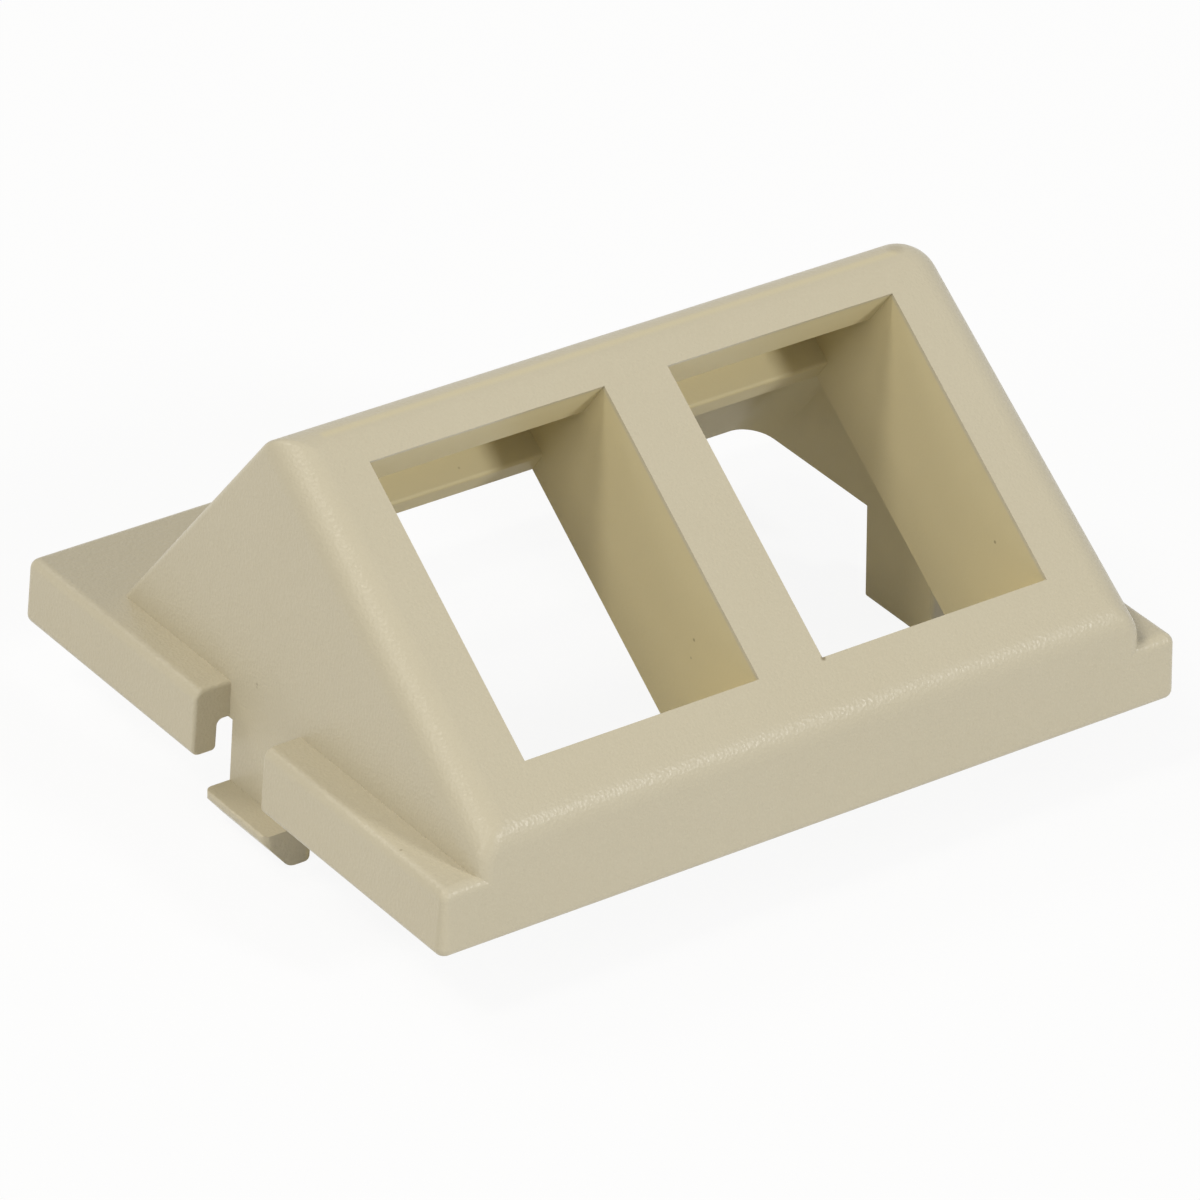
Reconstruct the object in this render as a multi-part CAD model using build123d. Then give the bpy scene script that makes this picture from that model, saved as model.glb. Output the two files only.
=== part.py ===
from build123d import *
import math
import os

# Angled two-port faceplate, moulded in one piece, in millimetres and degrees.
# X runs along the plate, Y from the front edge to the back edge, Z up. The origin lies at the
# middle of the rim that the skirt stands on.

# Tray: the flat plate with its turned-down skirt
plate_length = 48.05
plate_depth = 39.65
tray_height = 4.0
flange_thickness = 2.2
skirt_thickness = 1.55
skirt_draft = 2.9
plan_corner_radius = 0.6
flange_edge_radius = 0.6
rim_outer_radius = 0.5
rim_inner_radius = 0.3
skirt_root_radius = 0.35

# Wedge: the sloped housing that stands on the tray and is flush with its front
slope_angle = 35.9
slope_start_height = 5.9
slope_length = 24.9
back_wall_lean = 2.95
side_ledge = 2.2
end_wall_draft = 1.7
slope_edge_radius = 2.0
front_corner_radius = 0.9
left_back_radius = 0.4
right_back_radius = 2.3

# Walls of the wedge
slope_wall = 2.0
back_wall = 1.45
end_wall = 1.4
core_draft = 2.8
cavity_corner_radius = 1.6
cavity_top_radius = 0.6

# Ports: two openings through the slope, each with a walled channel behind it
port_count = 2
port_pitch = 19.0
port_width = 14.9
port_height = 17.9
port_start = 3.8
channel_depth = 10.1
channel_wall = 1.2
sill_wall = 1.5
sill_depth = 8.2
channel_rim_clearance = 0.4

# Catch: the recess above each port's lintel that the jack's spring latch springs up into, and the
# ledge at the recess's back
lintel_depth = 3.0
lintel_wall = 1.2
catch_front = 8.5
catch_step = 0.2
catch_lip_radius = 0.2

# Cable relief: the open middle of the back wall's foot and of the plate behind it
relief_width = 20.0
relief_height = 6.9
relief_rim_strip = 1.6
relief_corner_radius = 0.8

# Snap tongues: one at each end, hanging from the end wall in a notch of the tray
tongue_width = 5.8
notch_clearance = 0.3
notch_edge_radius = 0.2
tongue_drop = 4.2
tongue_foot_radius = 0.3
lug_top_drop = 1.9
lug_reach = 1.65
lug_tip_height = 0.4
lug_tip_radius = 0.15
lug_plan_radius = 0.5
lug_ramp_radius = 0.9

# Room that cutting shapes run past a face, and the tolerance for finding a face by its place
overrun = 2.0
place_tolerance = 0.001


# Lines of the side profile, in the YZ plane: a point on the line and its direction
def unit(y, z):
    size = math.hypot(y, z)
    return (y / size, z / size)


def shifted(line, distance):
    """The line moved to the right of its direction."""
    (y, z), (along_y, along_z) = line
    return ((y + along_z * distance, z - along_y * distance), (along_y, along_z))


def crossing(line_a, line_b):
    """The point where two lines meet."""
    (ay, az), (ady, adz) = line_a
    (by, bz), (bdy, bdz) = line_b
    travel = ((by - ay) * bdz - (bz - az) * bdy) / (ady * bdz - adz * bdy)
    return (ay + ady * travel, az + adz * travel)


def level(z):
    """The level line at height z, running from front to back."""
    return ((0.0, z), (1.0, 0.0))


front_y = -plate_depth / 2
underside = tray_height - flange_thickness
slope_y = math.cos(math.radians(slope_angle))
slope_z = math.sin(math.radians(slope_angle))
lean = math.tan(math.radians(back_wall_lean))
front_line = ((front_y, 0.0), unit(math.tan(math.radians(skirt_draft)), 1.0))
slope_line = ((front_y, slope_start_height), (slope_y, slope_z))
ridge = (front_y + slope_y * slope_length, slope_start_height + slope_z * slope_length)
back_line = (ridge, unit(slope_z + lean * slope_y, lean * slope_z - slope_y))
back_axis = Axis((0, 0, 0), (0, -back_line[1][1], back_line[1][0]))
slope_axis = Axis((0, 0, 0), (0, -slope_z, slope_y))

# Frame on the slope: X along the plate, Y up the slope, Z out of it
slope_frame = Plane(origin=(0, front_y, slope_start_height), x_dir=(1, 0, 0), z_dir=(0, -slope_z, slope_y))


def slope_block(x, width, start, end, top, bottom):
    """A block on the slope, from start to end up the slope and from depth top to depth bottom."""
    outline = slope_frame * Pos(x, (start + end) / 2, -bottom) * Rectangle(width, end - start)
    return extrude(outline, amount=bottom - top)


def edges_between(face, others):
    """Edges that a face shares with any of the others."""
    near = [edge for other in others for edge in other.edges()]
    return ShapeList(edge for edge in face.edges() if any(edge.is_same(other) for other in near))


# Height of the end walls' outer and inner faces above the plate's middle, as half lengths in X
wedge_half = plate_length / 2 - tray_height * math.tan(math.radians(skirt_draft)) - side_ledge


def end_face_x(z):
    """Half length of the wedge's outside at height z."""
    return wedge_half + (tray_height - z) * math.tan(math.radians(end_wall_draft))


def core_face_x(z):
    """Half length of the wedge's hollow at height z."""
    return end_face_x(underside) - end_wall + (underside - z) * math.tan(math.radians(core_draft))


def end_to_end(half_length, low, high):
    """A block over the whole depth whose ends follow a drafted face."""
    outline = Polygon(
        (-half_length(low), low),
        (half_length(low), low),
        (half_length(high), high),
        (-half_length(high), high),
        align=None,
    )
    return extrude(Plane.XZ * outline, amount=plate_depth, both=True)


def side_prism(front_inset, slope_inset, back_inset, foot):
    """The wedge's side profile, moved inwards by the insets, cut off at height foot and extruded in X."""
    front = shifted(front_line, front_inset)
    slope = shifted(slope_line, slope_inset)
    back = shifted(back_line, back_inset)
    outline = Polygon(
        crossing(front, level(foot)),
        crossing(front, slope),
        crossing(slope, back),
        crossing(back, level(foot)),
        align=None,
    )
    return extrude(Plane.YZ * outline, amount=plate_length, both=True)


def end_faces(shape):
    """The two faces that lie furthest out in X."""
    in_order = shape.faces().sort_by(Axis.X)
    return [in_order[0], in_order[-1]]


# Tray
def tray():
    rim_outline = RectangleRounded(plate_length, plate_depth, plan_corner_radius)
    slab = extrude(rim_outline, amount=tray_height, taper=skirt_draft)
    slab = fillet(slab.faces().sort_by(Axis.Z)[-1].edges(), flange_edge_radius)
    slab = fillet(slab.faces().sort_by(Axis.Z)[0].edges(), rim_outer_radius)
    pocket_outline = offset(rim_outline, amount=-skirt_thickness, kind=Kind.INTERSECTION)
    pocket = extrude(pocket_outline, amount=underside, taper=skirt_draft)
    pocket = fillet(pocket.faces().sort_by(Axis.Z)[-1].edges(), skirt_root_radius)
    shell = slab - pocket
    rim = shell.faces().sort_by(Axis.Z)[0]
    return fillet(rim.inner_wires()[0].edges(), rim_inner_radius)


# Wedge, outside: all the slope's edges are rounded, and its right back corner is rounder than the left one
def wedge_form():
    form = side_prism(0.0, 0.0, 0.0, tray_height - flange_thickness / 2)
    form = form & end_to_end(end_face_x, 0.0, ridge[1] + overrun)
    back_face = form.faces().sort_by(back_axis)[-1]
    form = fillet(edges_between(back_face, [end_faces(form)[1]]), right_back_radius)
    slope_face = form.faces().sort_by(slope_axis)[-1]
    form = fillet(slope_face.edges(), slope_edge_radius)
    front_face = form.faces().sort_by(Axis.Y)[0]
    form = fillet(edges_between(front_face, end_faces(form)), front_corner_radius)
    back_face = form.faces().sort_by(back_axis)[-1]
    return fillet(edges_between(back_face, [end_faces(form)[0]]), left_back_radius)


# Wedge, hollow: open downwards, its front flush with the inside of the skirt
def wedge_hollow():
    hollow = side_prism(skirt_thickness, slope_wall, back_wall, -overrun)
    hollow = hollow & end_to_end(core_face_x, -overrun, ridge[1])
    back_face = hollow.faces().sort_by(back_axis)[-1]
    hollow = fillet(edges_between(back_face, end_faces(hollow)), cavity_corner_radius)
    top_face = hollow.faces().sort_by(slope_axis)[-1]
    return fillet(edges_between(top_face, end_faces(hollow)), cavity_top_radius)


# Port channels: side walls, a sill below, the lintel and the catch above, behind the slope's wall
port_top = port_start + port_height
catch_start = port_top + catch_step
port_places = [port_pitch * (index - (port_count - 1) / 2) for index in range(port_count)]


def channel(port_x):
    top = slope_wall / 2
    sill_start = port_start - sill_wall
    full_width = port_width + 2 * channel_wall
    sides = slope_block(port_x, full_width, sill_start, slope_length, top, channel_depth)
    sides -= slope_block(port_x, port_width, sill_start, slope_length, 0.0, channel_depth)
    sill = slope_block(port_x, full_width, sill_start, port_start, top, sill_depth)
    lintel = slope_block(port_x, full_width, port_top, port_top + lintel_wall, top, lintel_depth)
    catch = slope_block(port_x, full_width, catch_start, slope_length, catch_front, channel_depth)
    lip = Pos(port_x, 0, 0) * slope_frame.location * Vertex(0, catch_start, -catch_front)
    catch = fillet(catch.edges().filter_by(Axis.X).sort_by_distance(lip)[0], catch_lip_radius)
    within = side_prism(skirt_thickness / 2, slope_wall / 2, back_wall / 2, channel_rim_clearance)
    return (sides + sill + lintel + catch) & within


def port_opening(port_x):
    return slope_block(port_x, port_width, port_start, port_top, -overrun, lintel_depth)


# Cable relief
def cable_relief():
    start = crossing(shifted(back_line, back_wall), level(relief_height))[0] - overrun
    end = plate_depth / 2 - skirt_thickness - relief_rim_strip
    outline = Pos(0, (start + end) / 2, 0) * RectangleRounded(relief_width, end - start, relief_corner_radius)
    return extrude(outline, amount=relief_height)


# Snap tongues and their notches
def at_both_ends(shape):
    return shape + mirror(shape, Plane.YZ)


def notches():
    width = tongue_width + 2 * notch_clearance
    high = tray_height + overrun
    outline = Polygon(
        (end_face_x(-overrun), -overrun),
        (plate_length, -overrun),
        (plate_length, high),
        (end_face_x(high), high),
        align=None,
    )
    return at_both_ends(extrude(Plane.XZ * outline, amount=width / 2, both=True))


def soften_cuts(body):
    """Round the outer edges of the notches' cut faces."""
    half_width = tongue_width / 2 + notch_clearance
    cut_faces = [
        face
        for face in body.faces().filter_by(Plane.XZ)
        if abs(abs(face.center().Y) - half_width) < place_tolerance
    ]
    edges = ShapeList(
        edge for face in cut_faces for edge in face.edges() if abs(edge.center().X) > end_face_x(0.0) + side_ledge / 2
    )
    return fillet(edges, notch_edge_radius)


def tongues():
    root = tray_height - flange_thickness / 2
    foot = -tongue_drop
    lug_top = -lug_top_drop
    tip_x = end_face_x(lug_top) + lug_reach
    outline = Polygon(
        (core_face_x(root), root),
        (core_face_x(foot), foot),
        (end_face_x(foot), foot),
        (tip_x, lug_top - lug_tip_height),
        (tip_x, lug_top),
        (end_face_x(lug_top), lug_top),
        (end_face_x(root), root),
        align=None,
    )
    corner = outline.vertices().sort_by_distance((core_face_x(foot), foot, 0))[0]
    outline = fillet(corner, tongue_foot_radius)
    corner = outline.vertices().sort_by_distance((end_face_x(foot), foot, 0))[0]
    outline = fillet(corner, lug_ramp_radius)
    corners = outline.vertices().sort_by_distance((tip_x, lug_top, 0))[:2]
    outline = fillet(corners, lug_tip_radius)
    pair = at_both_ends(extrude(Plane.XZ * outline, amount=tongue_width / 2, both=True))
    plan = RectangleRounded(2 * tip_x, tongue_width, lug_plan_radius)
    return pair & extrude(Pos(0, 0, foot) * plan, amount=root - foot)


def moulding():
    body = tray() + wedge_form() - wedge_hollow()
    for port_x in port_places:
        body += channel(port_x)
        body -= port_opening(port_x)
    body -= cable_relief()
    body = soften_cuts(body - notches())
    return body + tongues()


faceplate = moulding()
os.makedirs("parts", exist_ok=True)
export_step(faceplate, "parts/angled_faceplate.step")
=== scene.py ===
import bpy
import math
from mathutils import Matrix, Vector


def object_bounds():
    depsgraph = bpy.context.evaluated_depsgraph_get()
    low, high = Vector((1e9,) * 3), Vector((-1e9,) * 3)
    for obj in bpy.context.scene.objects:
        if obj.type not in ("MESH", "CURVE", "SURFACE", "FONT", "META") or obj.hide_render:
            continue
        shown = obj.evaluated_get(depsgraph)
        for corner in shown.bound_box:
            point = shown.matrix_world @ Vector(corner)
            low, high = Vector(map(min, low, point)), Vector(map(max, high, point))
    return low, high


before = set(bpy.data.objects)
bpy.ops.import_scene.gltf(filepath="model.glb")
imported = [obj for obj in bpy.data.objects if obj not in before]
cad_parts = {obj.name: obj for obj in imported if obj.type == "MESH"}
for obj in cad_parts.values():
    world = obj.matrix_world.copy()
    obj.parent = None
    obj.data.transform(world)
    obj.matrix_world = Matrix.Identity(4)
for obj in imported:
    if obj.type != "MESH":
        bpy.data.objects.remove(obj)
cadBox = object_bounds()
print("stage: frame loaded")

mm = 0.001
white = (1.0, 1.0, 1.0, 1.0)


# A socket that takes part in sums: an expression on it adds the Math nodes
class Field:
    def __init__(self, shop, socket):
        self.shop = shop
        self.socket = socket

    def maths(self, operation, *values, clamp=False):
        settings = {"operation": operation, "use_clamp": clamp}
        return self.shop.add("ShaderNodeMath", settings, dict(enumerate(values)))

    def __add__(self, other):
        return self.maths("ADD", self, other)

    def __radd__(self, other):
        return self.maths("ADD", other, self)

    def __sub__(self, other):
        return self.maths("SUBTRACT", self, other)

    def __rsub__(self, other):
        return self.maths("SUBTRACT", other, self)

    def __mul__(self, other):
        return self.maths("MULTIPLY", self, other)

    def __rmul__(self, other):
        return self.maths("MULTIPLY", other, self)

    def __abs__(self):
        return self.maths("ABSOLUTE", self)

    def clipped(self):  # held between 0 and 1
        return self.maths("MULTIPLY", self, 1.0, clamp=True)

    def ramp(self, edge):  # 0 at 0, rising to 1 over the edge
        return (self * (1 / edge)).clipped()


# The nodes of one material or of the world
class Shop:
    def __init__(self, tree):
        self.tree = tree
        tree.nodes.clear()

    def add(self, kind, settings=None, inputs=None, output=None):
        node = self.tree.nodes.new(kind)
        for name, value in (settings or {}).items():
            setattr(node, name, value)
        for name, value in (inputs or {}).items():
            self.feed(self.pick(node.inputs, name), value)
        return Field(self, self.pick(node.outputs, output) if node.outputs else None)

    def pick(self, sockets, name):  # a socket by its name or number, else the first
        live = [socket for socket in sockets if socket.enabled]
        if name is None:
            return live[0]
        if isinstance(name, int):
            return live[name]
        return next(socket for socket in live if socket.name == name)

    def feed(self, socket, value):
        if isinstance(value, Field):
            self.tree.links.new(value.socket, socket)
        else:
            socket.default_value = value

    def blend(self, mask, first, second):  # colours: first where mask is 0, second where it is 1
        inputs = {"Factor": mask, "A": first, "B": second}
        return self.add("ShaderNodeMix", {"data_type": "RGBA"}, inputs)

    def grain(self, place, size, roughness=0.5):  # noise of features about size metres
        inputs = {"Vector": place, "Scale": 1 / size, "Detail": 3.0, "Roughness": roughness}
        return self.add("ShaderNodeTexNoise", None, inputs)

    def cells(self, place, size):  # rounded hollows about size metres apart, 0 at the middle of each
        inputs = {"Vector": place, "Scale": 1 / size}
        return self.add("ShaderNodeTexVoronoi", {"feature": "F1"}, inputs, "Distance")

    def along(self, place, direction):  # how far a place lies along a direction
        inputs = {0: place, 1: direction}
        return self.add("ShaderNodeVectorMath", {"operation": "DOT_PRODUCT"}, inputs, "Value")

    def reach(self, place, centre):  # how far a place lies from a point
        inputs = {0: place, 1: centre}
        return self.add("ShaderNodeVectorMath", {"operation": "DISTANCE"}, inputs, "Value")

    def bump(self, height, depth, normal=None):
        inputs = {"Strength": 1.0, "Distance": depth, "Height": height}
        if normal is not None:
            inputs["Normal"] = normal
        return self.add("ShaderNodeBump", None, inputs)

    def seen(self):  # 1 for what the camera, a glossy or a clear surface sees
        total = 0.0
        for ray in ("Is Camera Ray", "Is Glossy Ray", "Is Transmission Ray"):
            total = total + self.add("ShaderNodeLightPath", None, None, ray)
        return total.clipped()


def linear(red, green, blue):  # a colour as it is read off a screen, 0 to 255
    def level(value):
        value = value / 255
        return value / 12.92 if value <= 0.04045 else ((value + 0.055) / 1.055) ** 2.4

    return (level(red), level(green), level(blue), 1.0)


# Ivory moulding: spark-eroded skin outside, smoother in the ports and the hollow, where a yellower colour is
# painted bounce light
ivory = {
    "skin": linear(202, 194, 171),
    "deep": linear(194, 185, 160),  # where clouds, mottle and grain run darker
    # inner: painted bounce light, the warm yellow that light picks up between the inside walls
    "inner": linear(213, 201, 160),
    "insideBounceShare": 0.9,  # how far the painted bounce colour covers the skin's
    "speckAndShade": linear(112, 96, 64),
    "speckFade": 1.6,  # a mark starts to show at this many radii
    "cloud": 8 * mm,
    "cloudShare": 0.4,
    "mottle": 0.8 * mm,
    "mottleShare": 0.2,
    "grain": 0.14 * mm,
    "grainShare": 0.6,
    "ragged": 0.6,  # fine detail within the grain
    "paler": 0.1,  # taken off the three shares together
    "grainHeight": 0.6,
    "crater": 0.20 * mm,
    "craterHeight": 0.7,
    "skinDepth": 0.026 * mm,
    "waveDepth": 0.004 * mm,
    "innerShare": 0.25,  # of the skin's depth that is left inside
    "roughOutside": 0.31,
    "roughInside": 0.50,
    "roughSwing": 0.10,
    "ior": 1.49,
    "specular": 0.27,
}

# Where the inside begins, measured from the foot of the slope and its walls
inner = {
    "slopeAngle": 35.9,
    "slopeFoot": (0.0, -19.825 * mm, 5.9 * mm),
    "mouth": 0.1 * mm,  # behind the slope
    "mouthEdge": 0.25 * mm,
    "edge": 0.3 * mm,
    "frontWall": 2.8 * mm,
    "lintel": 2.3 * mm,  # behind it the hollow is wider than the ports
    "portsReach": 18.8 * mm,
    "hollowReach": 20.9 * mm,
    "backFacing": (0.0, 0.779, 0.627),
    "backWall": 12.4 * mm,
}

# Small dark specks of a used part, and one painted shade spot at the right end of the ridge: place, radius
# (mm) and strength
specksAndShadeSpot = [
    {"at": (-2.05, -11.04, 7.57), "radius": 0.08, "strength": 0.55},
    {"at": (-2.05, -10.86, 6.37), "radius": 0.06, "strength": 0.40},
    {"at": (16.95, -12.26, 8.17), "radius": 0.08, "strength": 0.60},
    {"at": (-23.33, -15.07, 4.00), "radius": 0.07, "strength": 0.40},
    {"at": (-21.59, 0.82, 5.06), "radius": 0.07, "strength": 0.35},
    {"at": (-21.59, 0.82, 4.86), "radius": 0.06, "strength": 0.30},
    {"at": (-7.08, 3.55, 12.33), "radius": 0.06, "strength": 0.30},
    {"at": (2.08, -16.80, 8.10), "radius": 0.12, "strength": 0.70},
    # painted shade where the rounded ridge corner turns away from the light
    {"at": (18.82, 0.08, 19.76), "radius": 0.40, "strength": 0.20},
]


def darkSpecksAndShade(shop, place):  # 0 on clean plastic, towards 1 on a speck or on the painted shade spot
    clean = 1.0
    for mark in specksAndShadeSpot:
        centre = [value * mm for value in mark["at"]]
        radii = shop.reach(place, centre) * (1 / (mark["radius"] * mm))
        near = (ivory["speckFade"] - radii).clipped()
        clean = clean * (1 - mark["strength"] * near)
    return 1 - clean


def insideWalls(shop, place):  # 1 in the ports and the hollow, 0 on the outer skin
    angle = math.radians(inner["slopeAngle"])
    inward = Vector((0.0, math.sin(angle), -math.cos(angle)))
    uphill = Vector((0.0, math.cos(angle), math.sin(angle)))
    foot = Vector(inner["slopeFoot"])
    depth = shop.along(place, inward) - inward.dot(foot)
    height = shop.along(place, uphill) - uphill.dot(foot)
    side = abs(shop.along(place, (1.0, 0.0, 0.0)))
    backward = shop.along(place, inner["backFacing"])

    edge = inner["edge"]
    behindLintel = (depth - inner["lintel"]).ramp(edge)
    reach = inner["portsReach"] + (inner["hollowReach"] - inner["portsReach"]) * behindLintel
    inside = (depth - inner["mouth"]).ramp(inner["mouthEdge"])
    inside = inside * (height - inner["frontWall"]).ramp(edge)
    inside = inside * (reach - side).ramp(edge)
    return inside * (inner["backWall"] - backward).ramp(edge)


def ivoryPlastic():
    material = bpy.data.materials.new("ivory_plastic")
    material.use_nodes = True
    shop = Shop(material.node_tree)
    place = shop.add("ShaderNodeNewGeometry", None, None, "Position")
    inside = insideWalls(shop, place)
    cloud = shop.grain(place, ivory["cloud"])
    mottle = shop.grain(place, ivory["mottle"])
    grain = shop.grain(place, ivory["grain"], ivory["ragged"])
    craters = shop.cells(place, ivory["crater"])

    shade = ivory["cloudShare"] * cloud + ivory["mottleShare"] * mottle + ivory["grainShare"] * grain
    shade = (shade - ivory["paler"]).clipped()
    colour = shop.blend(shade, ivory["skin"], ivory["deep"])
    # painted bounce light: the ports and the hollow take the yellower inner colour
    colour = shop.blend(inside * ivory["insideBounceShare"], colour, ivory["inner"])
    # dark specks, and painted shade at the right end of the ridge
    colour = shop.blend(darkSpecksAndShade(shop, place), colour, ivory["speckAndShade"])

    rough = ivory["roughOutside"] + (ivory["roughInside"] - ivory["roughOutside"]) * inside
    rough = rough + ivory["roughSwing"] * (mottle - 0.5)
    eroded = ivory["grainHeight"] * grain + ivory["craterHeight"] * craters
    height = eroded * (1 - (1 - ivory["innerShare"]) * inside)
    skin = shop.bump(height, ivory["skinDepth"])
    surface = {
        "Base Color": colour,
        "Roughness": rough,
        "Normal": shop.bump(mottle, ivory["waveDepth"], skin),
        "IOR": ivory["ior"],
        "Specular IOR Level": ivory["specular"],
    }
    plastic = shop.add("ShaderNodeBsdfPrincipled", None, surface)
    shop.add("ShaderNodeOutputMaterial", None, {"Surface": plastic})
    return material


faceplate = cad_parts["angled_faceplate"]
faceplate.data.materials.clear()
faceplate.data.materials.append(ivoryPlastic())
print("stage: faceplate dressed")


# Floor: pale, white to the camera, and it keeps a soft shadow
floorLook = {
    "colour": (0.86, 0.86, 0.86, 1.0),
    "glow": white,
    "shadowShare": 0.09,  # how much of a shadow the camera still sees
    "halfWidth": 1.5,
}


def paleFloor():
    material = bpy.data.materials.new("pale_floor")
    material.use_nodes = True
    shop = Shop(material.node_tree)
    cloth = shop.add("ShaderNodeBsdfDiffuse", None, {"Color": floorLook["colour"]})
    glow = shop.add("ShaderNodeEmission", None, {"Color": floorLook["glow"], "Strength": 1.0})
    share = shop.seen() * (1 - floorLook["shadowShare"])
    mixed = shop.add("ShaderNodeMixShader", None, {0: share, 1: cloth, 2: glow})
    shop.add("ShaderNodeOutputMaterial", None, {"Surface": mixed})
    return material


def floorSheet(height):
    half = floorLook["halfWidth"]
    mesh = bpy.data.meshes.new("floor")
    corners = [(-half, -half, height), (half, -half, height), (half, half, height), (-half, half, height)]
    mesh.from_pydata(corners, [], [(0, 1, 2, 3)])
    mesh.materials.append(paleFloor())
    floor = bpy.data.objects.new("floor", mesh)
    bpy.context.scene.collection.objects.link(floor)


lowest = cadBox[0][2]
floorSheet(lowest)
print("stage: floor laid")


# Light: a dim even room, a small key lamp from the front right, and soft lamps round the left side
room = {"colour": white, "level": 0.27, "seenLevel": 1.0}
lamps = {
    "key": {"from": (0.72, -1.99, 1.13), "size": 0.36, "power": 24.5, "colour": (1.0, 1.0, 1.0)},
    "left": {"from": (-1.31, 0.05, 2.01), "size": 0.50, "power": 16.0, "colour": (1.0, 0.96, 0.87)},
    "fill": {"from": (-2.03, -0.66, 1.09), "size": 0.80, "power": 10.5, "colour": (1.0, 0.97, 0.91)},
    "behind": {"from": (-0.65, 1.4, 1.84), "size": 0.90, "power": 10.5, "colour": (1.0, 0.96, 0.88)},
}


def paleRoom():
    world = bpy.data.worlds.new("room")
    world.use_nodes = True
    shop = Shop(world.node_tree)
    dim = shop.add("ShaderNodeBackground", None, {"Color": room["colour"], "Strength": room["level"]})
    bright = shop.add("ShaderNodeBackground", None, {"Color": room["colour"], "Strength": room["seenLevel"]})
    mixed = shop.add("ShaderNodeMixShader", None, {0: shop.seen(), 1: dim, 2: bright})
    shop.add("ShaderNodeOutputWorld", None, {"Surface": mixed})
    bpy.context.scene.world = world


def hangLamp(name, lamp):  # a round lamp that faces the part
    light = bpy.data.lights.new(name, "AREA")
    light.shape = "DISK"
    light.size = lamp["size"]
    light.energy = lamp["power"]
    light.color = lamp["colour"]
    holder = bpy.data.objects.new(name, light)
    holder.location = lamp["from"]
    away = holder.location.normalized()
    holder.rotation_euler = away.to_track_quat("Z", "Y").to_euler()
    bpy.context.scene.collection.objects.link(holder)


paleRoom()
for lampName, lamp in lamps.items():
    hangLamp(lampName, lamp)
print("stage: lamps hung")


# Camera: a long lens, from the front left and above
viewpoint = {
    "place": (-236.671 * mm, -315.138 * mm, 241.019 * mm),
    "turn": (58.9209, -2.1605, -35.602),
    "lens": 257.295,
    "sensor": 36.0,
    "nearest": 0.01,
}


def setCamera():
    camera = bpy.data.cameras.new("camera")
    camera.lens = viewpoint["lens"]
    camera.sensor_width = viewpoint["sensor"]
    camera.clip_start = viewpoint["nearest"]
    holder = bpy.data.objects.new("camera", camera)
    holder.location = viewpoint["place"]
    holder.rotation_euler = [math.radians(turn) for turn in viewpoint["turn"]]
    bpy.context.scene.collection.objects.link(holder)
    bpy.context.scene.camera = holder


setCamera()
bpy.context.scene.view_settings.view_transform = "Standard"
print("stage: camera set")
